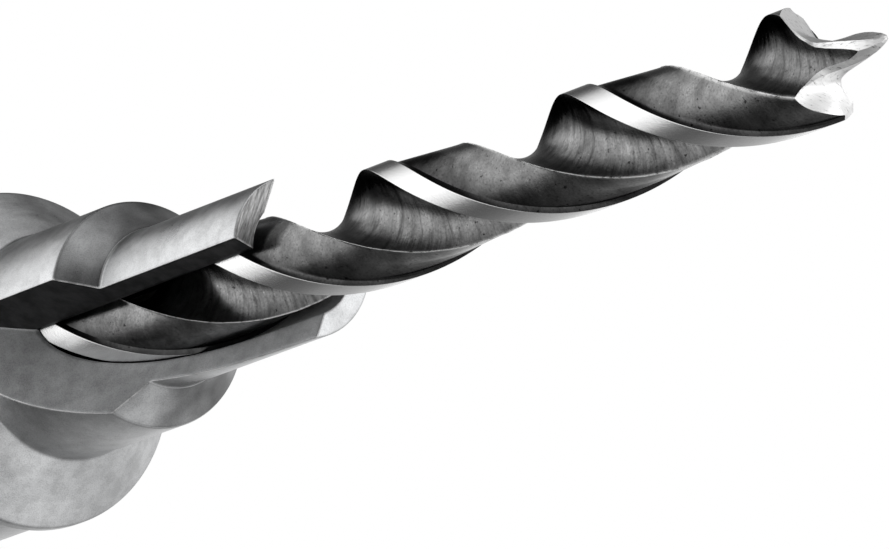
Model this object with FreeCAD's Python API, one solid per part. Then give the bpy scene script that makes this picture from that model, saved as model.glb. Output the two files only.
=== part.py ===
import FreeCAD, Part
import os
import math

os.makedirs("parts", exist_ok=True)

V = FreeCAD.Vector
origin = V(0, 0, 0)
axis_x = V(1, 0, 0)
axis_y = V(0, 1, 0)
axis_z = V(0, 0, 1)

# Pilot, clearance and countersink bit for furniture connector screws.
# The tool axis lies along X with the cutting tip towards +X.
# The origin is the middle of the shank's rear end face. All sizes are in millimetres.

# Hexagonal drive shank
shank_across_flats = 6.35
shank_length = 28.0
shank_end_chamfer = 0.6

# Collar that carries the set screw, with a proud rim at each end
collar_rim_diameter = 15.0
collar_rim_width = 0.6
collar_rim_step = 0.45
collar_length = 16.0
collar_front_cone_length = 2.75

# Fluted front of the holder, from the head bore cutter to the clearance step
head_diameter = 10.0
head_length = 6.6
countersink_length = 1.5
clearance_diameter = 7.0
clearance_length = 10.1

# Straight flutes, each cut by the flat side and the rim of a wheel
flute_wall_offset = 0.9
near_flute_floor = 1.75
near_wheel_radius = 32.0
far_flute_floor = 2.4
far_wheel_radius = 22.0

# Pilot drill with a centre spike and two flat-ground lands
pilot_diameter = 5.0
pilot_reach = 39.95
spike_length = 4.4
flute_start = 2.0
flute_run_out = 3.0
flute_lead = 27.8
twist_step = 13.5
lip_phase = -31.4
margin_width = 1.02
margin_step = 0.15
margin_bevel_angle = 2.0
land_angle = 82.6
heel_radius = 1.95
core_radius = 0.6
back_bulge = 0.04
lip_relief_angle = 4.0
spike_root_fillet = 0.45
spike_root_depth = 0.5
spike_base_radius = 0.8
spike_shoulder_radius = 0.52
spike_shoulder_length = 0.85
spike_point_radius = 0.2
spike_point_length = 0.2
pilot_end_chamfer = 0.4

# Set screw that clamps the pilot
screw_diameter = 5.0
screw_recess = 0.4
screw_socket_across_flats = 2.5
screw_socket_depth = 2.0
screw_end_chamfer = 0.4
screw_from_collar_rear = 7.0
shank_behind_screw = 4.0

# Fits
bore_clearance = 0.05
seat_clearance = 0.05
thread_clearance = 0.05

# Stations along the axis and radii that the pieces share
collar_rear_x = shank_length
collar_front_x = collar_rear_x + collar_length
head_rear_x = collar_front_x + collar_front_cone_length
head_front_x = head_rear_x + head_length
clearance_rear_x = head_front_x + countersink_length
holder_front_x = clearance_rear_x + clearance_length
tip_x = holder_front_x + pilot_reach
land_end_x = tip_x - spike_length
flute_rear_x = collar_front_x + flute_start
screw_x = collar_rear_x + screw_from_collar_rear
pilot_rear_x = screw_x - shank_behind_screw
bore_floor_x = pilot_rear_x - seat_clearance

pilot_radius = pilot_diameter / 2
bore_radius = pilot_radius + bore_clearance
rim_radius = collar_rim_diameter / 2
waist_radius = rim_radius - collar_rim_step
head_radius = head_diameter / 2
clearance_radius = clearance_diameter / 2
screw_radius = screw_diameter / 2
screw_foot_z = pilot_radius + seat_clearance
screw_top_z = waist_radius - screw_recess
screw_length = screw_top_z - screw_foot_z


def polar(radius, degrees):
    """Point in the cross-section plane, with the angle measured from +Y towards +Z."""
    angle = math.radians(degrees)
    return V(0, radius * math.cos(angle), radius * math.sin(angle))


def at(x, radius):
    """Point of a turned profile."""
    return V(x, 0, radius)


def turned(profile):
    """Solid of revolution about X from (x, radius) points that start and end on the axis."""
    points = [at(x, radius) for x, radius in profile]
    outline = Part.makePolygon(points + [points[0]])
    return Part.Face(outline).revolve(origin, axis_x, 360)


def hex_prism(across_flats, length):
    """Hexagonal bar along +X from the origin, with flats facing up and down."""
    corner_radius = across_flats / math.sqrt(3)
    corners = [polar(corner_radius, 60 * i) for i in range(7)]
    return Part.Face(Part.makePolygon(corners)).extrude(axis_x * length)


def drive_shank():
    """Hexagonal shank whose rear end is chamfered by a cone."""
    bar = hex_prism(shank_across_flats, collar_rear_x + collar_rim_width)
    corner_radius = shank_across_flats / math.sqrt(3)
    envelope = turned([
        (0, 0),
        (0, corner_radius - shank_end_chamfer),
        (shank_end_chamfer, corner_radius),
        (2 * shank_end_chamfer, 2 * corner_radius),
        (collar_rear_x + collar_rim_width, 2 * corner_radius),
        (collar_rear_x + collar_rim_width, 0),
    ])
    return bar.common(envelope)


def turned_head():
    """Collar with its two rims, front cone, head cutter, countersink and clearance step."""
    rim_slope = collar_rim_step
    return turned([
        (collar_rear_x, 0),
        (collar_rear_x, waist_radius),
        (collar_rear_x + rim_slope, rim_radius),
        (collar_rear_x + rim_slope + collar_rim_width, rim_radius),
        (collar_rear_x + 2 * rim_slope + collar_rim_width, waist_radius),
        (collar_front_x - rim_slope - collar_rim_width, waist_radius),
        (collar_front_x - collar_rim_width, rim_radius),
        (collar_front_x, rim_radius),
        (head_rear_x, head_radius),
        (head_front_x, head_radius),
        (clearance_rear_x, clearance_radius),
        (holder_front_x, clearance_radius),
        (holder_front_x, 0),
    ])


def flute_cut(floor_depth, wheel_radius):
    """Space swept by one wheel: flat wall at -Y, floor that curves up towards the collar."""
    wheel_centre_z = wheel_radius - floor_depth
    wheel_base = V(holder_front_x, -flute_wall_offset, wheel_centre_z)
    wheel_width = collar_rim_diameter
    wheel = Part.makeCylinder(wheel_radius, wheel_width, wheel_base, -axis_y)
    ahead = Part.makeBox(
        wheel_radius,
        wheel_width,
        2 * wheel_radius,
        V(holder_front_x, -flute_wall_offset - wheel_width, -floor_depth),
    )
    return wheel.fuse(ahead)


def screw_hole():
    """Cross hole for the set screw, from the bore out through the top of the collar."""
    return Part.makeCylinder(screw_radius + thread_clearance, rim_radius, V(screw_x, 0, 0), axis_z)


def step_holder():
    """One turned and milled piece: shank, collar, head cutter and fluted clearance step."""
    bore = Part.makeCylinder(bore_radius, tip_x, V(bore_floor_x, 0, 0), axis_x)
    near_flute = flute_cut(near_flute_floor, near_wheel_radius)
    far_flute = flute_cut(far_flute_floor, far_wheel_radius)
    far_flute.rotate(origin, axis_x, 180)
    body = drive_shank().fuse(turned_head())
    body = body.cut(near_flute).cut(far_flute)
    return body.cut(bore).cut(screw_hole()).removeSplitter()


def flute_arc(lip_angle):
    """Hollow of one flute, from the lip past the core to the heel of the next land."""
    heel_angle = lip_angle + 180 - land_angle
    core_angle = (lip_angle + heel_angle) / 2
    lip = polar(pilot_radius, lip_angle)
    return Part.Arc(lip, polar(core_radius, core_angle), polar(heel_radius, heel_angle)).toShape()


def land_edges(lip_angle):
    """Outer lines of one land: margin, step down, relieved back and the flute ahead of it."""
    margin_angle = math.degrees(margin_width / pilot_radius)
    relieved_radius = pilot_radius - margin_step
    lip = polar(pilot_radius, lip_angle)
    margin_middle = polar(pilot_radius, lip_angle - margin_angle / 2)
    margin_end = polar(pilot_radius, lip_angle - margin_angle)
    relief_angle = margin_angle + margin_bevel_angle
    relief_start = polar(relieved_radius, lip_angle - relief_angle)
    back_radius = (relieved_radius + heel_radius) / 2 + back_bulge
    back_middle = polar(back_radius, lip_angle - (relief_angle + land_angle) / 2)
    heel = polar(heel_radius, lip_angle - land_angle)
    return [
        Part.Arc(lip, margin_middle, margin_end).toShape(),
        Part.makeLine(margin_end, relief_start),
        Part.Arc(relief_start, back_middle, heel).toShape(),
        flute_arc(lip_angle),
    ]


def land_phase(x):
    """Angle of the first lip where the cross-section at x cuts it."""
    return lip_phase + 360 * (x - holder_front_x) / flute_lead


def fluted_section(x):
    """Closed cross-section of the two lands at x."""
    phase = land_phase(x)
    edges = land_edges(0) + land_edges(180)
    section = Part.Wire(Part.__sortEdges__(edges))
    section.rotate(origin, axis_x, phase)
    section.translate(V(x, 0, 0))
    return section


def twisted_bar(from_x, to_x):
    """Two-flute bar through cross-sections that turn with the right-hand lead."""
    count = math.ceil(360 * (to_x - from_x) / flute_lead / twist_step)
    stations = [from_x + (to_x - from_x) * i / count for i in range(count + 1)]
    return Part.makeLoft([fluted_section(x) for x in stations], True, True)


def spike_envelope():
    """Turned outline of the centre spike, with a fillet at its root and a rounded point."""
    root_x = land_end_x - spike_root_depth
    flare_radius = spike_base_radius + spike_root_fillet
    fillet_turn = spike_root_fillet * (1 - math.sqrt(0.5))
    fillet_middle = at(land_end_x + fillet_turn, spike_base_radius + fillet_turn)
    base = at(land_end_x + spike_root_fillet, spike_base_radius)
    shoulder = at(tip_x - spike_shoulder_length, spike_shoulder_radius)
    point_start = at(tip_x - spike_point_length, spike_point_radius)
    apex = at(tip_x, 0)
    edges = [
        Part.makeLine(apex, at(root_x, 0)),
        Part.makeLine(at(root_x, 0), at(root_x, flare_radius)),
        Part.makeLine(at(root_x, flare_radius), at(land_end_x, flare_radius)),
        Part.Arc(at(land_end_x, flare_radius), fillet_middle, base).toShape(),
        Part.makeLine(base, shoulder),
        Part.makeLine(shoulder, point_start),
        Part.makeLine(point_start, apex),
    ]
    return Part.Face(Part.Wire(edges)).revolve(origin, axis_x, 360)


def land_relief(lip_angle):
    """Space above one land's end face, which falls away behind the lip."""
    reach = 2 * pilot_diameter
    block = Part.makeBox(reach, reach, reach, V(land_end_x, -core_radius, -core_radius))
    block.rotate(V(land_end_x, 0, 0), axis_z, lip_relief_angle)
    block.rotate(origin, axis_x, lip_angle - 90)
    return block


def pilot_drill():
    """Right-hand twist drill with margins, relieved lands, plain shank and centre spike."""
    flutes = twisted_bar(flute_rear_x, tip_x)
    spike = flutes.common(spike_envelope())
    lands_envelope = turned([
        (pilot_rear_x, 0),
        (pilot_rear_x, pilot_diameter),
        (land_end_x, pilot_diameter),
        (land_end_x, 0),
    ])
    lands = flutes.common(lands_envelope)
    end_phase = land_phase(land_end_x)
    for lip_angle in (end_phase, end_phase + 180):
        lands = lands.cut(land_relief(lip_angle))
    shank = turned([
        (pilot_rear_x, 0),
        (pilot_rear_x, pilot_radius - pilot_end_chamfer),
        (pilot_rear_x + pilot_end_chamfer, pilot_radius),
        (flute_rear_x, pilot_radius),
        (flute_rear_x + flute_run_out, core_radius),
        (flute_rear_x + flute_run_out, 0),
    ])
    return shank.fuse([lands, spike]).removeSplitter()


def set_screw():
    """Headless clamping screw with a hexagon socket, standing on the pilot's shank."""
    blank = turned([
        (0, 0),
        (0, screw_radius - screw_end_chamfer),
        (screw_end_chamfer, screw_radius),
        (screw_length - screw_end_chamfer, screw_radius),
        (screw_length, screw_radius - screw_end_chamfer),
        (screw_length, 0),
    ])
    blank.rotate(origin, axis_y, -90)
    blank.translate(V(screw_x, 0, screw_foot_z))
    socket = hex_prism(screw_socket_across_flats, screw_socket_depth)
    socket.rotate(origin, axis_y, -90)
    socket.translate(V(screw_x, 0, screw_top_z - screw_socket_depth))
    return blank.cut(socket)


def save(name, shape):
    shape.exportStep("parts/" + name + ".step")


save("step_holder", step_holder())
save("pilot_drill", pilot_drill())
save("set_screw", set_screw())
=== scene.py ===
import bpy
import bmesh
import math
import numpy as np
from mathutils import Matrix, Vector


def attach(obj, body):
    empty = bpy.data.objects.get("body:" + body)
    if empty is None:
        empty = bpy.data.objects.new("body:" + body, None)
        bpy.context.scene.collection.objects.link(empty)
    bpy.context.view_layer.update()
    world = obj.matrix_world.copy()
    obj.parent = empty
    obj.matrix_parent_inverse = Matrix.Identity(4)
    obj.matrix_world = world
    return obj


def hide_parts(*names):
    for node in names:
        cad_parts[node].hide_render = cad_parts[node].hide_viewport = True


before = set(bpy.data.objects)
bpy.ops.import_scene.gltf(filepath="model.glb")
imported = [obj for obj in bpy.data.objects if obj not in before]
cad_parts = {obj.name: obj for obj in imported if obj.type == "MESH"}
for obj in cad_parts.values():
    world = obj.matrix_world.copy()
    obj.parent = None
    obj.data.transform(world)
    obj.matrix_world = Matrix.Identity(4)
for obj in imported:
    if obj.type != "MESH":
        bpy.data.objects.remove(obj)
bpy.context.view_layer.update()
print("frame loaded")

# Bit for furniture connector screws: a twist pilot with a centre spike, clamped by a set screw in a
# turned and milled holder. The tool's axis is X and the tip points to +X.
mm = 0.001  # sizes are written in millimetres and become metres when a mesh or lamp is made
fullTurn = 2 * math.pi


# Helpers for closed surfaces.

def gridFaces(rows, columns):
    # quad (i, j) joins point j of row i and its neighbour round the row with the same two of row i + 1
    i = np.arange(rows - 1)[:, None] * columns
    j = np.arange(columns)
    k = (j + 1) % columns
    quads = np.stack([i + j, i + k, i + columns + k, i + columns + j], axis=-1)
    return quads.reshape(-1, 4)


def fanFaces(centre, ring, outward):
    # triangles from one pole to each pair of neighbours in a closed ring
    other = np.roll(ring, -1)
    pole = np.full(len(ring), centre)
    order = [pole, ring, other] if outward else [pole, other, ring]
    return np.stack(order, axis=-1)


def closedFaces(rows, columns):
    # quads between the rows, then a fan over each end from the two poles that follow the last row
    count = rows * columns
    ring = np.arange(columns)
    return [
        gridFaces(rows, columns),
        fanFaces(count, ring, False),
        fanFaces(count + 1, ring + count - columns, True),
    ]


def ringPoints(x, radius, angle):
    # circle-like row round the axis: x, radius times cosine, radius times sine
    reach = np.broadcast_to(radius, angle.shape)
    return np.column_stack([np.full(len(angle), x), reach * np.cos(angle), reach * np.sin(angle)])


def finishMesh(piece, distance, sharpAngle):
    # merges points nearer than the distance, turns the closed skin outward by the sign of its
    # volume, and shades it smooth except across edges sharper than the angle in degrees
    work = bmesh.new()
    work.from_mesh(piece.data)
    bmesh.ops.remove_doubles(work, verts=work.verts, dist=distance)
    bmesh.ops.dissolve_degenerate(work, edges=work.edges, dist=distance)
    if work.calc_volume(signed=True) < 0:
        bmesh.ops.reverse_faces(work, faces=work.faces)
    work.normal_update()
    limit = math.radians(sharpAngle)
    for face in work.faces:
        face.smooth = True
    for edge in work.edges:
        edge.smooth = len(edge.link_faces) == 2 and edge.calc_face_angle(0) < limit
    work.to_mesh(piece.data)
    work.free()


def meshPiece(name, points, faces, attributes=None, uv=None, sharpAngle=35):
    # points in mm; attributes hold one value and uv one pair per point
    mesh = bpy.data.meshes.new(name)
    faceList = [f.tolist() for block in faces for f in block]
    mesh.from_pydata((np.asarray(points) * mm).tolist(), [], faceList)
    for key, values in (attributes or {}).items():
        layer = mesh.attributes.new(key, "FLOAT", "POINT")
        layer.data.foreach_set("value", np.asarray(values, np.float32).ravel())
    if uv is not None:
        layer = mesh.uv_layers.new(name="surface")
        corner = np.zeros(len(mesh.loops), np.int32)
        mesh.loops.foreach_get("vertex_index", corner)
        layer.data.foreach_set("uv", np.asarray(uv, np.float32)[corner].ravel())
    mesh.update()
    piece = bpy.data.objects.new(name, mesh)
    bpy.context.scene.collection.objects.link(piece)
    finishMesh(piece, 1e-7, sharpAngle)
    return piece


def cutWith(piece, cutters):
    # takes the cutters' volumes out of the piece and keeps only the result
    for cutter in cutters:
        step = piece.modifiers.new("cut", "BOOLEAN")
        step.operation = "DIFFERENCE"
        step.solver = "EXACT"
        step.object = cutter
    depsgraph = bpy.context.evaluated_depsgraph_get()
    shaped = bpy.data.meshes.new_from_object(piece.evaluated_get(depsgraph))
    piece.modifiers.clear()
    old = piece.data
    piece.data = shaped
    bpy.data.meshes.remove(old)
    for cutter in cutters:
        bpy.data.objects.remove(cutter, do_unlink=True)


def arcThrough(a, b, c, count):
    # points on the circle through a, b and c, from a past b to c; the centre is as far from each
    a, b, c = (np.asarray(p, float) for p in (a, b, c))
    centre = np.linalg.solve(2 * np.array([b - a, c - b]), [b @ b - a @ a, c @ c - b @ b])
    start, middle, end = (math.atan2(*(p - centre)[::-1]) for p in (a, b, c))
    turn = (end - start) % fullTurn
    if (middle - start) % fullTurn > turn:
        turn -= fullTurn
    angle = start + turn * np.linspace(0, 1, count)
    radius = np.linalg.norm(a - centre)
    return centre + radius * np.column_stack([np.cos(angle), np.sin(angle)])


def polar(radius, degrees):
    # radius times the cosine and the sine of the angle
    t = math.radians(degrees)
    return np.array([radius * math.cos(t), radius * math.sin(t)])


def softNoise(x, y, seed):
    # sum of seven sine waves of random direction and shift, between about -1 and 1
    rng = np.random.default_rng(seed)
    total = 0
    for _ in range(7):
        kx, ky, shift = rng.normal(0, 1, 3)
        total = total + np.sin(kx * x + ky * y + 6.3 * shift)
    return total / 4


# Pilot drill: a closed section that twists along the axis up to the end faces and the spike.

drill = {
    "radius": 2.5,                # over the margins
    "lead": 27.8,                 # per turn, right hand
    "lipPhase": -31.4,            # degrees of the first lip from +Y towards +Z, at holderFront
    "holderFront": 64.95,
    "rear": 31.0,
    "rearChamfer": 0.4,
    "fluteRear": 46.0,
    "fluteRunOut": 3.0,
    "landEnd": 100.5,             # height of the lips
    "tip": 104.9,
    "marginWidth": 1.02,
    "marginStep": 0.19,           # from the margin down to the relieved back
    "stepAngle": 4.0,             # degrees that this step takes
    "landAngle": 86.5,            # degrees from a lip back to its heel
    "heelRadius": 2.06,
    "coreRadius": 0.6,
    "edgeRounding": 0.012,
    "cornerRows": 70,             # how much denser the columns stand at a corner, and how far round it
    "cornerReach": 0.04,
    "shankRows": (33, 3.0),       # x of the first row ahead of the chamfer, and their step
    "rowStep": 0.3,
    "wallRows": 36,               # rows from the body up to the outline of the end faces
    "wallHeight": 1.6,
    # the end faces in the lips' frame: u runs along a lip, b behind it
    "firstSide": (0.75, 0.66),    # u and b parts of the direction in which the first land lies
    "upperRelief": 0.72,          # fall of the first land's end behind its lip, mm per mm
    "upperAhead": 0.3,            # how far ahead of the lip it still rises
    "heelRidge": (-0.54, 0.84, 1.0),  # direction and distance of the ridge near its heel
    "heelRelief": 0.35,           # further fall past that ridge, mm per mm
    "lowerCrown": 0.5,            # the other land's end is level with a crown along its lip
    "crownPlace": 1.7,
    "crownWidth": 0.8,
    "crownBehind": 0.25,          # share of the crown that is left behind the lip
    "lowerCorner": 0.6,           # fall of its ground-off corner, mm per mm, from this radius on
    "cornerPlace": 2.15,
    "spikeFillet": 0.4,
    "spikeProfile": [             # radius of the spike and height above the lips
        (2.2, -6.0), (1.7, -2.0), (1.5, -0.5), (1.3, -0.117), (1.2, 0.09), (1.1, 0.236),
        (1.0, 0.43), (0.9, 0.76), (0.85, 1.01), (0.8, 1.63), (0.75, 2.34), (0.7, 2.74),
        (0.65, 3.1), (0.52, 3.6), (0.38, 3.95), (0.22, 4.22), (0.1, 4.35), (0.0, 4.4),
    ],
    "spikeAngles": (32, -7, -83, -118),    # its corners from a lip backwards, degrees
    "spikeFoot": (1.0, 1.0, 0.98, 0.9),    # share of the radius that each corner has at the foot
    "spikeNose": (1.0, 1.0, 0.8, 0.85),    # and from noseHeight on
    "noseHeight": 3.2,
    # a thin ragged burr stands on the heel
    "burrHeight": (0.02, 0.018),           # mean and swing
    "burrWidth": 0.03,
    "burrWaves": 9.0,                      # how fast its height changes, in radians per mm
    "burrHighlight": ((74, 90, 91, 94), (0.03, 0.05, 0.05, 0.12)),  # x, and width of the heel's bright line: bare metal on the burr, with a painted highlight
    # painted shade: the share of the base colour that is kept, darker towards each back's step and
    # each flute's lip, over the share of the back from heel to step and of the flute from lip to heel
    "backShade": ((0, 0.35, 0.6, 0.85, 1), (1.0, 1.0, 0.7, 0.35, 0.25)),
    "fluteShade": ((0, 0.05, 0.12, 0.2, 0.32, 0.5, 1), (0.08, 0.16, 0.36, 0.6, 0.88, 1.0, 1.0)),
}


def drillSection(d):
    # closed section with the first lip on +Y. Each land has a back on the arc from heel to step, a
    # margin on the full circle and a flute on the arc through lip, core and next heel; the whole line
    # is blurred by a Gaussian, which rounds its corners. Columns crowd where the corners are.
    relieved = d["radius"] - d["marginStep"]
    margin = math.degrees(d["marginWidth"] / d["radius"])
    step = margin + d["stepAngle"]
    land = d["landAngle"]
    gap = 180 - land
    lip = polar(d["radius"], 0)
    backMiddle = polar((relieved + d["heelRadius"]) / 2, -(step + land) / 2)
    back = arcThrough(polar(d["heelRadius"], -land), backMiddle, polar(relieved, -step), 500)
    edge = arcThrough(polar(d["radius"], -margin), polar(d["radius"], -margin / 2), lip, 300)
    flute = arcThrough(lip, polar(d["coreRadius"], gap / 2), polar(d["heelRadius"], gap), 900)
    half = np.concatenate([back[:-1], edge[:-1], flute[:-1]])
    closed = np.concatenate([half, -half, half[:1]])
    length = np.append(0, np.cumsum(np.linalg.norm(np.diff(closed, axis=0), axis=1)))
    total = length[-1]
    dense = np.linspace(0, total, 8192, endpoint=False)
    line = np.column_stack([np.interp(dense, length, closed[:, i]) for i in (0, 1)])
    wave = np.fft.rfftfreq(len(dense), total / len(dense))
    blur = np.exp(-2 * (math.pi * wave * d["edgeRounding"]) ** 2)[:, None]
    line = np.fft.irfft(np.fft.rfft(line, axis=0) * blur, len(dense), axis=0)
    marks = {
        "heel": length[0],
        "step": length[len(back) - 1],
        "marginEnd": length[len(back)],
        "lip": length[len(back) + len(edge) - 2],
    }
    density = np.full(len(dense), 10.0)
    for mark in marks.values():
        for k in (0, 1):
            away = np.abs((dense - mark - k * total / 2 + total / 2) % total - total / 2)
            density += d["cornerRows"] * np.exp(-((away / d["cornerReach"]) ** 2))
    count = int(density.sum() * total / len(dense))
    grown = np.append(0, np.cumsum(density))
    at = np.interp(np.arange(count) * grown[-1] / count, grown, np.linspace(0, total, len(grown)))
    around = np.append(dense, total)
    places = np.column_stack([np.interp(at, around, np.append(line[:, i], line[0, i])) for i in (0, 1)])
    return places, at, {**marks, "half": total / 2, "total": total}


def drillPhase(d, x):
    # turn of the section: a full turn per lead, counted from the holder's front
    return np.radians(d["lipPhase"] + 360 * (x - d["holderFront"]) / d["lead"])


def turn2(points, angle):
    # plane points turned about the axis by the angle
    c, s = np.cos(angle), np.sin(angle)
    x, y = points[..., 0], points[..., 1]
    return np.stack([c * x - s * y, s * x + c * y], axis=-1)


def landEndHeight(d, place):
    # the first land falls in proportion to b, and once more past a ridge; the other is a bell over
    # the distance along its lip, less a fall in proportion to the radius at its corner
    u, b = place[..., 0], -place[..., 1]
    first = d["firstSide"][0] * u + d["firstSide"][1] * b > 0
    ridge = d["heelRidge"]
    heel = np.clip(ridge[0] * u + ridge[1] * b - ridge[2], 0, None)
    upper = -d["upperRelief"] * np.clip(b, -d["upperAhead"], None) - d["heelRelief"] * heel
    v = np.abs(u)
    crown = np.exp(-(((v - d["crownPlace"]) / d["crownWidth"]) ** 2))
    crown *= d["crownBehind"] + (1 - d["crownBehind"]) * np.clip(-b, 0, 1)
    lower = d["lowerCrown"] * crown - d["lowerCorner"] * np.clip(v - d["cornerPlace"], 0, None)
    return np.where(first, upper, lower)


def spikeHeight(d, radius, angle):
    # height at which the spike's cornered section, seen at an angle behind the lip, has this radius:
    # between two corners the section is a straight chord, scaled by the turned profile, and the
    # height is found by halving
    profile = np.array(d["spikeProfile"])
    corners = np.radians(d["spikeAngles"])
    local = np.where(angle > corners[0], angle - math.pi, angle)
    low, high = np.full(radius.shape, profile[0, 1]), np.full(radius.shape, profile[-1, 1])
    for _ in range(26):
        t = (low + high) / 2
        whole = np.interp(t, profile[:, 1], profile[:, 0])
        near = np.clip(t / d["noseHeight"], 0, 1)
        shares = [f * (1 - near) + g * near for f, g in zip(d["spikeFoot"], d["spikeNose"])]
        reach = whole * 1.0
        sides = list(zip(corners, shares)) + [(corners[0] - math.pi, shares[0])]
        for (a, ra), (b, rb) in zip(sides, sides[1:]):
            across = ra * np.sin(a - local) + rb * np.sin(local - b)
            chord = ra * rb * math.sin(a - b) / np.maximum(across, 1e-6)
            reach = np.where((local <= a) & (local >= b), whole * chord, reach)
        low, high = np.where(reach > radius, t, low), np.where(reach > radius, high, t)
    return (low + high) / 2


def endHeight(d, planar):
    # top surface over points of the turning section: the higher of end face and spike, as the mean
    # of both plus half the root of their squared difference and the squared fillet; the end face is
    # fixed to the lips, so its height and the section's turn are found together by repetition
    angle = np.arctan2(planar[..., 1], planar[..., 0])
    ahead = np.where(np.abs(angle) <= math.pi / 2, angle, angle - math.pi * np.sign(angle))
    spike = spikeHeight(d, np.linalg.norm(planar, axis=-1), ahead)
    face = spike * 0
    for _ in range(14):
        face = landEndHeight(d, turn2(planar, fullTurn * face / d["lead"]))
    return (spike + face + np.sqrt((spike - face) ** 2 + d["spikeFillet"] ** 2)) / 2


def makeDrill(d):
    # rows of the section, each turned by the lead at its own x: the shank's circle blends into it
    # over the run-out, the walls climb to the outline of the end surface, and over that surface the
    # section shrinks to the axis
    section, at, marks = drillSection(d)
    columns = len(at)
    radii = np.linalg.norm(section, axis=1)
    local = at % marks["half"]
    onMargin = (local > marks["marginEnd"] - 0.01) & (local < marks["lip"] + 0.005)
    inFlute = local > marks["lip"]
    heelAway = np.minimum(local, marks["half"] - local)
    fluteShare = (local - marks["lip"]) / (marks["half"] - marks["lip"])
    # painted shade, darkest at each flute's lip and at each back's step
    shade = np.where(inFlute, np.interp(fluteShare, *d["fluteShade"]), 1.0)
    backShade = np.interp(local / marks["step"], *d["backShade"])
    shade = np.where(local < marks["step"], backShade, shade)
    rows = []
    zones = {"margin": [], "flute": [], "ground": [], "crest": [], "shade": []}

    def addRow(x, planar, ground):
        # the zones are masks for the material, with ground 1 on the end surface
        xRow = np.broadcast_to(x, columns)
        rows.append(np.column_stack([xRow, planar]))
        body = 1.0 - ground
        zones["margin"].append(onMargin * body)
        zones["flute"].append(inFlute * 1.0)
        zones["ground"].append(np.full(columns, 1.0 * ground))
        # the heel's bright line: a painted highlight over the bare metal of the burr
        zones["crest"].append(np.exp(-(heelAway / np.interp(xRow, *d["burrHighlight"])) ** 2) * body)
        zones["shade"].append(shade * body + 1 - body)

    along = at / marks["total"] * fullTurn + math.atan2(section[0, 1], section[0, 0])
    circle = d["radius"] * np.column_stack([np.cos(along), np.sin(along)])
    stations = np.concatenate([
        [d["rear"], d["rear"] + d["rearChamfer"]],
        np.arange(d["shankRows"][0], d["fluteRear"], d["shankRows"][1]),
        np.arange(d["fluteRear"], d["landEnd"] - d["wallHeight"], d["rowStep"]),
    ])
    for x in stations:
        share = np.clip((x - d["fluteRear"]) / d["fluteRunOut"], 0, 1)
        share = share * share * (3 - 2 * share)
        planar = circle * (1 - share) + section * share
        if x == d["rear"]:
            planar = planar * (d["radius"] - d["rearChamfer"]) / d["radius"]
        ragged = d["burrHeight"][0] + d["burrHeight"][1] * softNoise(x * d["burrWaves"], 0, 3)
        burr = np.exp(-(heelAway / d["burrWidth"]) ** 2) * ragged * share
        planar = planar * (1 + burr / radii)[:, None]
        addRow(x, turn2(planar, drillPhase(d, x)), 0)

    start = stations[-1]
    top = np.minimum(d["landEnd"] + endHeight(d, section), d["tip"])
    for t in np.linspace(0, 1, d["wallRows"])[1:]:
        xRow = start + (top - start) * t
        addRow(xRow, turn2(section, drillPhase(d, xRow)), 0)
    shrink = [[0.995, 0.98], np.linspace(0.96, 0.4, 34), np.linspace(0.385, 0.01, 46)]
    for t in np.concatenate(shrink):
        planar = section * t
        xRow = np.minimum(d["landEnd"] + endHeight(d, planar), d["tip"])
        addRow(xRow, turn2(planar, drillPhase(d, xRow)), 1)

    points = np.vstack(rows + [[[d["rear"], 0, 0], [d["tip"], 0, 0]]])
    attributes = {key: np.append(np.concatenate(values), [0, 0]) for key, values in zones.items()}
    # the UV map counts centimetres: along the section and along the axis
    uv = np.column_stack([np.tile(local, len(rows)), points[:-2, 0]]) / 10
    uv = np.vstack([uv, [[0, 0], [0, 0]]])
    faces = closedFaces(len(rows), columns)
    return meshPiece("pilot_drill_ground", points, faces, attributes, uv, sharpAngle=32)


# Holder: one turned and milled piece.

holder = {
    "acrossFlats": 6.35,
    "shankLength": 28.0,
    "endChamfer": 0.6,
    "columns": 240,
    "profile": [  # x, radius and rounding of each turned corner
        (28.0, 7.05, 0.1), (28.45, 7.5, 0.12), (29.05, 7.5, 0.12), (29.5, 7.05, 0.1),
        (42.95, 7.05, 0.12), (43.4, 7.5, 0.12), (44.0, 7.5, 0.1), (46.75, 5.0, 0.12),
        (53.35, 5.0, 0.1), (54.85, 3.5, 0.12), (64.95, 3.5, 0.13),
    ],
    "profileStep": 0.8,
    "collarInner": 4.2,         # radii at which the collar's rear face starts and the front face ends
    "frontInner": 2.0,
    "front": 64.95,
    "shoulder": (53.38, 54.8),  # the countersink, which is darker and mottled
    # each flute is cut by a wheel with a flat side, which leaves a flat wall this far from the axis
    "wall": 0.9,
    "nearFloor": 1.8,
    "nearWheel": 32.0,
    "nearFlat": 0.4,            # how far its floor runs level behind the front face
    "farFloor": 2.4,
    "farWheel": 22.0,
    "wheelWidth": 12,
    "wheelTop": 10.5,           # height above the axis up to which a cut is followed
    "bore": 2.55,
    "boreRear": 30.95,
    "screwX": 35.0,
    "screwHole": 2.55,
    "boreAhead": 80,            # x and height to which the bore's and the hole's cutters reach
    "screwHoleTop": 9,
    "milledFrom": 33,           # ahead of the shank: only cuts from here on get the milled finish
}


def roundedProfile(corners):
    # each corner becomes a quadratic curve that touches both sides at its rounding's distance
    line = [corners[0][:2]]
    for before, corner, after in zip(corners, corners[1:], corners[2:]):
        p = np.array(corner[:2])
        a = np.array(before[:2]) - p
        b = np.array(after[:2]) - p
        la, lb = np.linalg.norm(a), np.linalg.norm(b)
        reach = min(corner[2], la * 0.45, lb * 0.45)
        a, b = p + a / la * reach, p + b / lb * reach
        t = np.linspace(0, 1, 6)[:, None]
        line += ((1 - t) ** 2 * a + 2 * t * (1 - t) * p + t ** 2 * b).tolist()
    line.append(corners[-1][:2])
    return np.array(line)


def hexRadius(acrossFlats, angle):
    # half the width over flats, divided by the cosine of the angle from the nearest flat's middle
    return acrossFlats / 2 / np.cos(angle % (math.pi / 3) - math.pi / 6)


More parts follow.
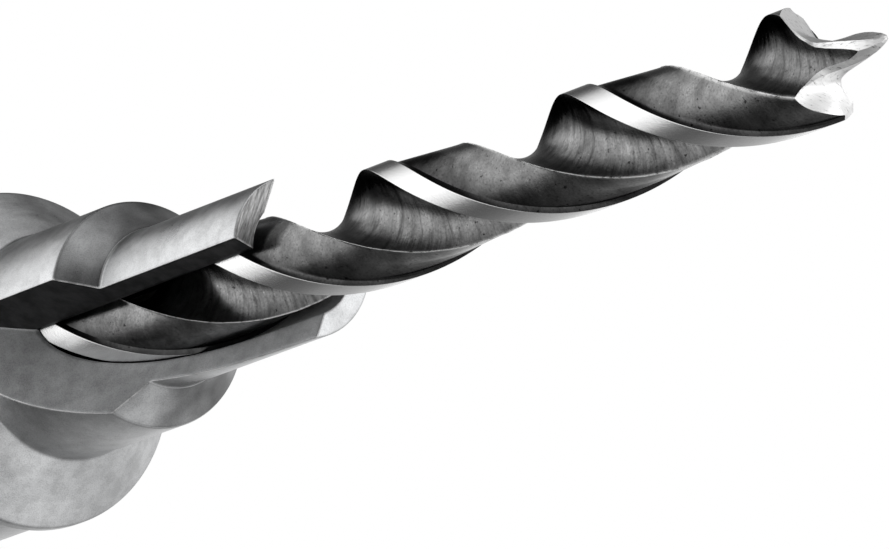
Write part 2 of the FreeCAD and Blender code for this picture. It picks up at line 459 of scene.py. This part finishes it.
def circleOutline(radius, count, centre=(0, 0)):
    # centre plus radius times the cosine and sine of even angles
    t = np.arange(count) * fullTurn / count
    return np.column_stack([centre[0] + radius * np.cos(t), centre[1] + radius * np.sin(t)])


def prism(name, outline, start, end, axis):
    # closed straight prism on a plane outline, along one of the axes
    n = len(outline)
    other = [i for i in (0, 1, 2) if i != axis]
    points = np.zeros((2 * n, 3))
    points[:, other] = np.vstack([outline, outline])
    points[:n, axis], points[n:, axis] = start, end
    caps = [np.arange(n)[None, ::-1], (np.arange(n) + n)[None, :]]
    return meshPiece(name, points, [gridFaces(2, n)] + caps)


def fluteCutter(h, name, floor, wheel, level, turned):
    # the wheel's path seen from the side: a level floor, then an arc that climbs to the collar, as
    # front minus level minus wheel times sine, and wheel minus floor minus wheel times cosine
    angle = np.linspace(0, math.acos(1 - (floor + h["wheelTop"]) / wheel), 105)
    x = h["front"] - level - wheel * np.sin(angle)
    z = wheel - floor - wheel * np.cos(angle)
    ahead, above = h["front"] + 5, z[-1] + 3
    outline = np.vstack([[[ahead, -floor]], np.column_stack([x, z]), [[x[-1], above], [ahead, above]]])
    cutter = prism(name, outline, -h["wall"], -h["wall"] - h["wheelWidth"], 1)
    if turned:
        cutter.data.transform(Matrix.Rotation(math.pi, 4, "X"))
    return cutter


def makeHolder(h):
    # radius as a function of x and angle: a hexagon cut by a cone at its end, then circles along
    # the rounded profile, and last the flutes and holes taken out
    angle = np.arange(h["columns"]) * fullTurn / h["columns"]
    hexagon = hexRadius(h["acrossFlats"], angle)
    cone = h["acrossFlats"] / math.sqrt(3) - h["endChamfer"]
    shank = np.append(np.linspace(0, h["endChamfer"], 9), np.linspace(2, h["shankLength"], 14))
    rows = [ringPoints(x, np.minimum(hexagon, cone + x), angle) for x in shank]
    first, last = (h["shankLength"], h["collarInner"], 0.0), (h["front"], h["frontInner"], 0.0)
    line = roundedProfile([first] + h["profile"] + [last])
    fine = [line[0]]
    for p, q in zip(line, line[1:]):
        count = max(1, int(abs(q[0] - p[0]) / h["profileStep"]))
        fine += [p + (q - p) * (i + 1) / count for i in range(count)]
    rows += [ringPoints(x, radius, angle) for x, radius in fine]
    points = np.vstack(rows + [[[0, 0, 0], [h["front"], 0, 0]]])
    piece = meshPiece("step_holder_milled", points, closedFaces(len(rows), h["columns"]))
    cutWith(piece, [
        fluteCutter(h, "nearFlute", h["nearFloor"], h["nearWheel"], h["nearFlat"], False),
        fluteCutter(h, "farFlute", h["farFloor"], h["farWheel"], 0.0, True),
        prism("bore", circleOutline(h["bore"], 160), h["boreRear"], h["boreAhead"], 0),
        prism("screwHole", circleOutline(h["screwHole"], 96, (h["screwX"], 0)), 0, h["screwHoleTop"], 2),
    ])
    finishMesh(piece, 2e-7, 28)
    markFaces(piece, h, line)
    return piece


def markFaces(piece, h, line):
    # marks for the material, one value per face: milled is 1 on a flute's wall and 0.5 on its floor,
    # both deeper than the turned outline; front is 1 on the end face above the axis, dull on the
    # countersink, and beside on turned faces that touch a cut
    mesh = piece.data
    count = len(mesh.polygons)
    middle, normal = np.zeros(count * 3), np.zeros(count * 3)
    mesh.polygons.foreach_get("center", middle)
    mesh.polygons.foreach_get("normal", normal)
    middle, normal = middle.reshape(-1, 3) / mm, normal.reshape(-1, 3)
    x = middle[:, 0]
    depth = np.interp(x, line[:, 0], line[:, 1]) - np.hypot(middle[:, 1], middle[:, 2])
    atFront = (x > h["front"] - 0.02) & (normal[:, 0] > 0.9)
    deep = (depth > 0.04) & (x > h["milledFrom"]) & ~atFront
    start, size = np.zeros(count, np.int32), np.zeros(count, np.int32)
    mesh.polygons.foreach_get("loop_start", start)
    mesh.polygons.foreach_get("loop_total", size)
    corner = np.zeros(len(mesh.loops), np.int32)
    mesh.loops.foreach_get("vertex_index", corner)
    onCut = np.zeros(len(mesh.vertices), bool)
    onCut[corner[np.repeat(deep, size)]] = True
    for key, values in (
        ("milled", deep * np.where(np.abs(normal[:, 1]) > 0.9, 1.0, 0.5)),
        ("front", atFront * (middle[:, 2] > 0) * 1.0),
        ("beside", ~deep & np.logical_or.reduceat(onCut[corner], start)),
        ("dull", (x > h["shoulder"][0]) & (x < h["shoulder"][1]) & ~deep),
    ):
        layer = mesh.attributes.new(key, "FLOAT", "FACE")
        layer.data.foreach_set("value", values.astype(np.float32))


# Set screw with its thread and hexagon socket, upright over the pilot's shank.

screw = {
    "x": 35.0,
    "foot": 2.55,          # its ends above the axis
    "top": 6.65,
    "radius": 2.5,
    "pitch": 0.8,
    "depth": 0.36,
    "threadPlay": 0.02,
    "chamfer": 0.4,
    "socket": 2.5,         # across flats
    "socketDepth": 2.0,
    "socketBevel": 0.06,
    "columns": 96,
    "threadRows": 62,
}


def makeScrew(s):
    # side: radius less a V groove whose phase is height over pitch minus angle over a full turn,
    # held inside the end chamfers; then the top face, the socket's bevel, walls and floor
    angle = np.arange(s["columns"]) * fullTurn / s["columns"]
    rows = []

    def addRing(radius, z):
        ring = ringPoints(0, radius, angle)
        rows.append(np.column_stack([s["x"] + ring[:, 1], ring[:, 2], np.full(len(angle), z)]))

    for z in np.linspace(s["foot"], s["top"], s["threadRows"]):
        t = ((z - s["foot"]) / s["pitch"] - angle / fullTurn) % 1
        groove = s["depth"] * np.clip(1 - np.abs(t - 0.5) / 0.44, 0, 1)
        limit = s["radius"] - s["chamfer"] + np.minimum(z - s["foot"], s["top"] - z)
        addRing(np.minimum(s["radius"] - s["threadPlay"] - groove, limit), z)
    hexagon = hexRadius(s["socket"], angle + math.pi / 6)
    bevel = s["socketBevel"]
    for t in (0.5, 0.9, 1.0):
        addRing((s["radius"] - s["chamfer"]) * (1 - t) + (hexagon + bevel) * t, s["top"])
    for t in np.linspace(0, 1, 5):
        addRing(hexagon, s["top"] - bevel - (s["socketDepth"] - bevel) * t)
    bottom = s["top"] - s["socketDepth"]
    addRing(hexagon * 0.4, bottom - 0.12)
    points = np.vstack(rows + [[[s["x"], 0, s["foot"]], [s["x"], 0, bottom - 0.2]]])
    return meshPiece("set_screw_threaded", points, closedFaces(len(rows), s["columns"]))


# Materials. Each has one dictionary with its patterns and tones.

def linear(hexColour):
    # sRGB hex text to linear values
    v = np.array([int(hexColour[i:i + 2], 16) for i in (0, 2, 4)]) / 255
    v = np.where(v <= 0.04045, v / 12.92, ((v + 0.055) / 1.055) ** 2.4)
    return (*v.tolist(), 1.0)


def addNode(tree, kind, settings=None, links=None):
    # settings are the node's own properties, socket values or a ramp's stops, whose tones are a grey
    # share or a hex colour; links are socket: node, or socket: (node, output)
    node = tree.nodes.new("ShaderNode" + kind)
    for key, value in (settings or {}).items():
        if key == "stops":
            elements = node.color_ramp.elements
            while len(elements) < len(value):
                elements.new(0.5)
            for element, (place, tone) in zip(elements, value):
                element.position = place
                element.color = linear(tone) if isinstance(tone, str) else (tone, tone, tone, 1)
        elif key == "easing":
            node.color_ramp.interpolation = value
        elif isinstance(key, str) and hasattr(node, key):
            setattr(node, key, value)
        else:
            node.inputs[key].default_value = value
    for key, link in (links or {}).items():
        source, output = link if isinstance(link, tuple) else (link, 0)
        tree.links.new(source.outputs[output], node.inputs[key])
    return node


def newMaterial(name, table):
    # lays out a table: a mask for each attribute that the mesh carries, a noise for each pattern, on
    # the object's place or the surface's own map, and a ramp for each tone, over a mask or a pattern
    material = bpy.data.materials.new(name)
    material.use_nodes = True
    tree = material.node_tree
    tree.nodes.clear()
    parts = {}
    for key in table.get("masks", ()):
        parts[key] = (addNode(tree, "Attribute", {"attribute_name": key}), "Fac")
    for key, (where, scale, turn, settings) in table.get("patterns", {}).items():
        if where not in parts and where == "place":
            parts[where] = (addNode(tree, "TexCoord"), "Object")
        elif where not in parts:
            parts[where] = addNode(tree, "UVMap", {"uv_map": where})
        scale = scale if isinstance(scale, tuple) else (scale, scale, scale)
        at = addNode(tree, "Mapping", {"Scale": scale, "Rotation": turn}, {"Vector": parts[where]})
        parts[key] = addNode(tree, "TexNoise", {"Scale": 1.0, **settings}, {"Vector": at})
    for key, (source, stops) in table.get("tones", {}).items():
        parts[key] = addNode(tree, "ValToRGB", {"stops": stops}, {"Fac": parts[source]})
    return material, tree, parts


level = (0, 0, 0)  # turn of a pattern that stands square, in radians

groundSteel = {
    "masks": ("margin", "flute", "ground", "crest", "shade"),
    # coordinates, scale, turn and settings of each noise; the scale is cells per centimetre on the
    # surface's own map and cells per metre elsewhere, and a comment gives the size that it makes
    "patterns": {
        # grinding marks across the flute, 2.5 mm long and 0.12 mm apart, and 2 mm long and 0.35 apart
        "fine": ("surface", (4, 80, 1), level, {"Detail": 6, "Roughness": 0.65}),
        "coarse": (
            "surface", (5, 28, 1), (0, 0, 0.12), {"Detail": 3, "Roughness": 0.6, "Distortion": 0.4},
        ),
        "cloud": ("place", 900, level, {"Detail": 4, "Roughness": 0.6}),       # 1.1 mm
        "speckle": ("place", 9000, level, {"Detail": 3, "Roughness": 0.7}),    # 0.11 mm
        "pits": ("place", 4600, level, {"Detail": 2, "Roughness": 0.5}),       # 0.2 mm
        "torn": ("place", 2600, level, {"Detail": 5, "Roughness": 0.75}),      # 0.4 mm pieces of burr
        # scratches of the last grinding, 0.07 mm apart; real ones are finer than the render shows
        "scratch": ("place", (3000, 15000, 3000), (0.6, 0, 0), {"Detail": 4, "Roughness": 0.7}),
    },
    "tones": {
        "skin": ("cloud", [(0.32, "646464"), (0.68, "929292")]),
        "streak": ("coarse", [(0.34, 0.45), (0.47, 0.92), (0.58, 1.0), (0.7, 1.15)]),
        "fineStreak": ("fine", [(0.35, 0.72), (0.55, 1.0)]),
        "speckTone": ("speckle", [(0.34, 0.62), (0.46, 0.96), (0.62, 1.04), (0.72, 1.45)]),
        "pitTone": ("pits", [(0.27, 0.2), (0.33, 1.0), (0.7, 1.0), (0.76, 1.5)]),
        "endTone": ("scratch", [(0.3, "8c8c8c"), (0.42, "ececec"), (0.7, "f8f8f8")]),
        "tornTone": ("torn", [(0.38, 0.2), (0.5, 1.0)]),
        "roughTone": ("fine", [(0.3, 0.14), (0.7, 0.26)]),
        # the painted shade also darkens the reflection seen along the surface
        "fluteEdge": ("shade", [(0.08, 0.03), (0.36, 0.08), (0.88, 0.4), (1.0, 1.0)]),
        "backEdge": ("shade", [(0.25, 0.5), (0.7, 0.35), (0.9, 0.5), (1.0, 1.0)]),
    },
    "marginColour": "e2e2e2",
    "burrHighlightColour": "f4f4f4",
    "marginRoughness": 0.2,
    "endRoughness": 0.42,
    "burrRoughness": 0.6,
    "bumpStrength": 0.5,
    "bumpDepth": 0.00001,   # metres
}


def groundToolSteel(m):
    # hardened tool steel, ground by wheels. To the eye: dark, streaked flutes with cross marks, specks
    # and pits on the backs of the lands, smooth bright margins and pale, scratched end faces; painted
    # shade darkens the flutes towards their lips and the backs towards their steps, and a painted
    # highlight brightens the burr on the heel
    material, tree, parts = newMaterial("ground_tool_steel", m)
    times = {"operation": "MULTIPLY"}
    streaks = addNode(tree, "Math", times, {0: parts["streak"], 1: parts["fineStreak"]})
    inFlute = {"Factor": parts["flute"], 3: streaks}
    fluteTone = addNode(tree, "Mix", {"data_type": "FLOAT", 2: 1.0}, inFlute)
    # base colour darkened by the painted shade, the specks, the pits and the streaks
    worked = parts["shade"]
    for factor in (parts["speckTone"], parts["pitTone"], fluteTone):
        worked = addNode(tree, "Math", times, {0: worked, 1: factor})
    scaled = {"Vector": parts["skin"], "Scale": worked}
    body = addNode(tree, "VectorMath", {"operation": "SCALE"}, scaled)
    # the burr's bare metal, brightened as a painted highlight, in torn pieces
    burr = addNode(tree, "Math", times, {0: parts["crest"], 1: parts["tornTone"]})
    # end faces over the body, margins over both, the burr's bright line with its painted highlight over
    # all
    colour = {"data_type": "RGBA"}
    ended = addNode(tree, "Mix", colour, {"Factor": parts["ground"], 6: body, 7: parts["endTone"]})
    marginSteel = {**colour, 7: linear(m["marginColour"])}
    margined = addNode(tree, "Mix", marginSteel, {"Factor": parts["margin"], 6: (ended, 2)})
    burrSteel = {**colour, 7: linear(m["burrHighlightColour"])}
    base = addNode(tree, "Mix", burrSteel, {"Factor": burr, 6: (margined, 2)})
    rough = parts["roughTone"]
    for mask, key in (("margin", "marginRoughness"), ("ground", "endRoughness"), ("", "burrRoughness")):
        share = parts[mask] if mask else burr
        rough = addNode(tree, "Mix", {"data_type": "FLOAT", 3: m[key]}, {"Factor": share, 2: rough})
    # the reflection at grazing angles is darkened by the painted shade as well
    edgeLinks = {"Factor": parts["flute"], 2: parts["backEdge"], 3: parts["fluteEdge"]}
    edgeTint = addNode(tree, "Mix", {"data_type": "FLOAT"}, edgeLinks)
    # marks stand in relief in the flutes only, specks everywhere
    both = addNode(tree, "Math", {"operation": "ADD"}, {0: parts["coarse"], 1: parts["fine"]})
    marks = addNode(tree, "Math", times, {0: both, 1: parts["flute"]})
    height = addNode(tree, "Math", {"operation": "ADD"}, {0: marks, 1: parts["speckle"]})
    relief = {"Strength": m["bumpStrength"], "Distance": m["bumpDepth"]}
    bump = addNode(tree, "Bump", relief, {"Height": height})
    links = {"Base Color": (base, 2), "Specular Tint": edgeTint, "Roughness": rough, "Normal": bump}
    shader = addNode(tree, "BsdfPrincipled", {"Metallic": 1.0}, links)
    addNode(tree, "OutputMaterial", links={"Surface": shader})
    return material


satinSteel = {
    "masks": ("milled", "front", "dull", "beside"),
    "patterns": {  # cells per metre
        "cloud": ("place", 420, level, {"Detail": 5, "Roughness": 0.62}),      # 2.4 mm
        "stain": ("place", 1500, level, {"Detail": 4, "Roughness": 0.6}),      # 0.7 mm
        "grain": ("place", 17000, level, {"Detail": 2, "Roughness": 0.6}),     # 0.06 mm
        "heated": ("place", 260, level, {"Detail": 2, "Roughness": 0.5}),      # 4 mm
        # turning marks 0.12 mm apart run round the axis
        "rings": ("place", (8000, 300, 300), level, {"Detail": 3, "Roughness": 0.6}),
        # the end face is sawn across, with lines 0.12 mm apart
        "sawn": ("place", (900, 900, 8500), (0.5, 0, 0), {"Detail": 4, "Roughness": 0.7}),
    },
    "tones": {
        "tone": ("cloud", [(0.34, "b6b7b8"), (0.5, "c8c9ca"), (0.66, "d6d7d8")]),
        "skin": ("stain", [(0.36, "1e1e1f"), (0.64, "3c3c3d")]),
        "skinShare": ("milled", [(0.0, 0.0), (0.5, 0.16), (1.0, 1.0)]),
        "flecks": ("grain", [(0.34, 0.84), (0.5, 1.0), (0.66, 1.08)]),
        "stains": ("stain", [(0.36, 0.88), (0.52, 1.0), (0.66, 1.04)]),
        "heatedTone": ("heated", [(0.36, 0.22), (0.64, 0.75)]),
        "sawnTone": ("sawn", [(0.34, "4c4c4c"), (0.5, "828282"), (0.66, "a8a8a8")]),
        "patches": ("stain", [(0.38, 0.25), (0.52, 1.0)]),
        "roughTone": ("cloud", [(0.3, 0.26), (0.7, 0.36)]),
        "roughCut": ("milled", [(0.0, 0.0), (0.5, 0.4), (1.0, 0.12)]),
    },
    "edgeRadius": 0.0002,      # metres over which an edge counts as worn and takes a painted highlight
    "edgeRange": (0.99, 0.88),
    "edgeHighlightColour": "f2f2f2",
    "edgeRoughness": 0.7,
    "bumpStrength": 0.35,
    "bumpDepth": 0.00001,      # metres
}


def turnedSteel(m):
    # steel turned to a satin finish. To the eye: light grey with a fine matt grain and faint stains,
    # bright edges, partly worn and partly a painted highlight, a darker mottled countersink, and milled
    # flutes that keep the black skin of hardening
    material, tree, parts = newMaterial("turned_steel", m)
    times, plus, colour = {"operation": "MULTIPLY"}, {"operation": "ADD"}, {"data_type": "RGBA"}
    skinLinks = {"Factor": parts["skinShare"], 6: parts["tone"], 7: parts["skin"]}
    skinned = addNode(tree, "Mix", colour, skinLinks)
    shoulderLinks = {"Factor": parts["dull"], 3: parts["heatedTone"]}
    shoulder = addNode(tree, "Mix", {"data_type": "FLOAT", 2: 1.0}, shoulderLinks)
    marked = addNode(tree, "Math", times, {0: parts["flecks"], 1: parts["stains"]})
    marked = addNode(tree, "Math", times, {0: marked, 1: shoulder})
    scaled = {"Vector": (skinned, 2), "Scale": marked}
    body = addNode(tree, "VectorMath", {"operation": "SCALE"}, scaled)
    ended = addNode(tree, "Mix", colour, {"Factor": parts["front"], 6: body, 7: parts["sawnTone"]})
    # an edge is where the rounded normal leaves the face's own; it is brightened in patches, partly as
    # wear and partly as a painted highlight
    rounded = addNode(tree, "Bevel", {"samples": 6, "Radius": m["edgeRadius"]})
    flat = addNode(tree, "NewGeometry")
    alike = addNode(tree, "VectorMath", {"operation": "DOT_PRODUCT"}, {0: rounded, 1: (flat, "Normal")})
    span = {"From Min": m["edgeRange"][0], "From Max": m["edgeRange"][1]}
    wearAndHighlight = addNode(tree, "MapRange", span, {"Value": (alike, "Value")})
    for factor in ("patches", "beside"):
        wearAndHighlight = addNode(tree, "Math", times, {0: wearAndHighlight, 1: parts[factor]})
    edgeHighlightSteel = {**colour, 7: linear(m["edgeHighlightColour"])}
    base = addNode(tree, "Mix", edgeHighlightSteel, {"Factor": wearAndHighlight, 6: (ended, 2)})
    rough = addNode(tree, "Math", plus, {0: parts["roughTone"], 1: parts["roughCut"]})
    worn = {"data_type": "FLOAT", 3: m["edgeRoughness"]}
    rough = addNode(tree, "Mix", worn, {"Factor": wearAndHighlight, 2: rough})
    height = parts["grain"]
    for factor in ("rings", "stain"):
        height = addNode(tree, "Math", plus, {0: height, 1: parts[factor]})
    relief = {"Strength": m["bumpStrength"], "Distance": m["bumpDepth"]}
    bump = addNode(tree, "Bump", relief, {"Height": height, "Normal": rounded})
    links = {"Base Color": (base, 2), "Roughness": rough, "Normal": bump}
    shader = addNode(tree, "BsdfPrincipled", {"Metallic": 1.0}, links)
    addNode(tree, "OutputMaterial", links={"Surface": shader})
    return material


oxideSteel = {
    "patterns": {"cloud": ("place", 1500, level, {"Detail": 4})},  # 0.7 mm
    "tones": {
        "tone": ("cloud", [(0.3, "2b2c2e"), (0.7, "454648")]),
        "roughTone": ("cloud", [(0.3, 0.35), (0.7, 0.5)]),
    },
}


def blackenedSteel(m):
    # steel boiled to a black oxide and oiled. To the eye: near black with a soft, uneven sheen
    material, tree, parts = newMaterial("blackened_steel", m)
    links = {"Base Color": parts["tone"], "Roughness": parts["roughTone"]}
    shader = addNode(tree, "BsdfPrincipled", {"Metallic": 1.0}, links)
    addNode(tree, "OutputMaterial", links={"Surface": shader})
    return material


# The pieces, each with its sizes, its finish, the solid that it stands for and its material slot.

for make, sizes, finish, table, node, slot in (
    (makeDrill, drill, groundToolSteel, groundSteel, "pilot_drill", "ground_tool_steel"),
    (makeHolder, holder, turnedSteel, satinSteel, "step_holder", "turned_steel"),
    (makeScrew, screw, blackenedSteel, oxideSteel, "set_screw", "blackened_steel"),
):
    piece = make(sizes)
    piece.data.materials.clear()
    piece.data.materials.append(finish(table))
    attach(piece, "root")
    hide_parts(node)
    print(node, "made with", len(piece.data.polygons), "faces")


# Studio: a white floor, soft sources round the tool and two fill lights in front.

studio = {
    "floorZ": -7.5,
    "floorHalf": 8000,
    "floorColour": "f2f2f2",
    # three soft sources, each a strength by the angle round the tool's axis, in degrees from +Y over
    # +Z, times one by the direction along the axis, from the shank's side to the tip's side
    "above": [
        (-60, 0.04), (-4, 0.05), (16, 0.1), (36, 0.75), (56, 1.25), (76, 1.55), (116, 1.55),
        (134, 1.2), (156, 0.22), (180, 0.04),
    ],
    "aboveAlong": [
        (-1, 0.45), (-0.88, 0.95), (-0.5, 1.0), (-0.3, 0.7), (-0.1, 0.5), (0.2, 0.3), (1, 0.3),
    ],
    # the soft box above doesn't stand square to the tool: degrees by which it is turned
    "aboveTurn": [
        (-1, -60), (-0.87, -40), (-0.8, -8), (-0.775, 0), (-0.74, -6), (-0.65, -6), (-0.56, 8),
        (-0.48, 22), (-0.3, 40), (-0.1, 60), (1, 70),
    ],
    "below": [
        (0, 0.03), (140, 0.04), (160, 0.1), (176, 0.14), (196, 0.21), (216, 0.36), (236, 0.48),
        (256, 0.6), (276, 0.8), (294, 1.2), (306, 0.85), (320, 0.35), (344, 0.1), (360, 0.03),
    ],
    "belowAlong": [
        (-1, 0.4), (-0.86, 0.45), (-0.8, 0.85), (-0.76, 1.0), (-0.7, 0.6), (-0.6, 0.55),
        (-0.5, 0.65), (-0.3, 0.9), (1, 1.0),
    ],
    "front": [
        (0, 1.1), (35, 0.85), (55, 0.4), (72, 0.14), (160, 0.12), (195, 0.6), (225, 0.95),
        (260, 1.1), (360, 1.1),
    ],
    "frontAlong": [(-0.35, 0.0), (0.0, 0.7), (0.4, 1.35), (1, 1.5)],
    # name, azimuth, elevation and strength of each fill light, where a strength of 1 is white
    "lamps": [("frontLeft", 50, 40, 0.4), ("frontRight", -40, 45, 0.3)],
    "lampTarget": (60, 0, 0),
    "lampDistance": 600,
    "lampSize": 400,
}


def whiteForCamera(tree, output, otherwise, white):
    # the camera, also through clear material, sees plain white; the steel sees the other shader
    path = addNode(tree, "LightPath")
    rays = {0: (path, "Is Camera Ray"), 1: (path, "Is Transmission Ray")}
    seen = addNode(tree, "Math", {"operation": "MAXIMUM"}, rays)
    mix = addNode(tree, "MixShader", links={"Fac": seen, 1: otherwise, 2: white})
    addNode(tree, output, links={"Surface": mix})


def whiteFloor(s):
    half, z = s["floorHalf"], s["floorZ"]
    corners = np.array([(-half, -half, z), (half, -half, z), (half, half, z), (-half, half, z)]) * mm
    mesh = bpy.data.meshes.new("floor")
    mesh.from_pydata(corners.tolist(), [], [(0, 1, 2, 3)])
    floor = bpy.data.objects.new("floor", mesh)
    bpy.context.scene.collection.objects.link(floor)
    floor.visible_glossy = False  # the steel mirrors the soft source below instead
    material, tree, parts = newMaterial("white_paper", {})
    paper = addNode(tree, "BsdfDiffuse", {"Color": linear(s["floorColour"])})
    white = addNode(tree, "Emission", {"Color": (1, 1, 1, 1), "Strength": 1.0})
    whiteForCamera(tree, "OutputMaterial", paper, white)
    floor.data.materials.append(material)


def areaLight(s, name, azimuth, elevation, strength):
    # a square soft light that looks at the target; power is radiance times pi times its area
    a, e = math.radians(azimuth), math.radians(elevation)
    direction = Vector((math.cos(a) * math.cos(e), math.sin(a) * math.cos(e), math.sin(e)))
    lamp = bpy.data.lights.new(name, "AREA")
    lamp.shape = "SQUARE"
    lamp.size = s["lampSize"] * mm
    lamp.energy = strength * math.pi * lamp.size ** 2
    light = bpy.data.objects.new(name, lamp)
    light.location = (Vector(s["lampTarget"]) + direction * s["lampDistance"]) * mm
    light.rotation_mode = "QUATERNION"
    light.rotation_quaternion = direction.to_track_quat("Z", "Y")
    light.visible_camera = False
    bpy.context.scene.collection.objects.link(light)


def surroundings(s):
    # strength of the light from a direction: for each source, a ramp over the angle round X times a
    # ramp over the part along X, and of the three products the largest
    world = bpy.data.worlds.new("studio")
    world.use_nodes = True
    bpy.context.scene.world = world
    tree = world.node_tree
    tree.nodes.clear()
    parts = addNode(tree, "SeparateXYZ", links={0: (addNode(tree, "TexCoord"), "Generated")})
    angle = addNode(tree, "Math", {"operation": "ARCTAN2"}, {0: (parts, "Z"), 1: (parts, "Y")})
    turns = addNode(tree, "Math", {"operation": "DIVIDE", 1: fullTurn}, {0: angle})
    around = addNode(tree, "Math", {"operation": "FRACT"}, {0: turns})
    share = addNode(tree, "MapRange", {"From Min": -1, "From Max": 1}, {"Value": (parts, "X")})
    turnStops = [((x + 1) / 2, (a + 180) / 360) for x, a in s["aboveTurn"]]
    shift = addNode(tree, "ValToRGB", {"stops": turnStops}, {"Fac": share})
    turned = addNode(tree, "Math", {"operation": "SUBTRACT"}, {0: turns, 1: shift})
    turned = addNode(tree, "Math", {"operation": "ADD", 1: 1.5}, {0: turned})
    turned = addNode(tree, "Math", {"operation": "FRACT"}, {0: turned})
    strength = None
    for name, source in (("above", turned), ("below", around), ("front", around)):
        ringStops = sorted((a % 360 / 360 if a != 360 else 1, v) for a, v in s[name])
        alongStops = [((x + 1) / 2, v) for x, v in s[name + "Along"]]
        ring = addNode(tree, "ValToRGB", {"stops": ringStops, "easing": "EASE"}, {"Fac": source})
        along = addNode(tree, "ValToRGB", {"stops": alongStops, "easing": "EASE"}, {"Fac": share})
        part = addNode(tree, "Math", {"operation": "MULTIPLY"}, {0: ring, 1: along})
        if strength is not None:
            part = addNode(tree, "Math", {"operation": "MAXIMUM"}, {0: strength, 1: part})
        strength = part
    white = addNode(tree, "Background", {"Color": (1, 1, 1, 1), "Strength": 1.0})
    room = addNode(tree, "Background", {"Color": (1, 1, 1, 1)}, {"Strength": strength})
    whiteForCamera(tree, "OutputWorld", room, white)


whiteFloor(studio)
surroundings(studio)
for lamp in studio["lamps"]:
    areaLight(studio, *lamp)
print("studio lit")


# Camera: a long lens ahead of the tip, looking back and down along the tool, and rolled.

view = {
    "place": (431.187, -200.520, 202.220),
    "right": (0.584844, 0.265342, -0.766519),
    "up": (0.214379, 0.860819, 0.461554),
    "back": (0.782304, -0.434262, 0.446562),
    "focalPixels": 11000,   # focal length in pixels of a picture 889 wide
    "pictureWidth": 889,
    "sensorWidth": 36,
}

lens = bpy.data.cameras.new("camera")
lens.sensor_fit = "HORIZONTAL"
lens.sensor_width = view["sensorWidth"]
lens.lens = view["focalPixels"] / view["pictureWidth"] * view["sensorWidth"]
lens.clip_start, lens.clip_end = 0.02, 20
camera = bpy.data.objects.new("camera", lens)
turn = Matrix([Vector(view[side]) for side in ("right", "up", "back")]).transposed().to_4x4()
camera.matrix_world = Matrix.Translation(Vector(view["place"]) * mm) @ turn
bpy.context.scene.collection.objects.link(camera)
bpy.context.scene.camera = camera
bpy.context.scene.view_settings.view_transform = "Standard"
print("camera set")
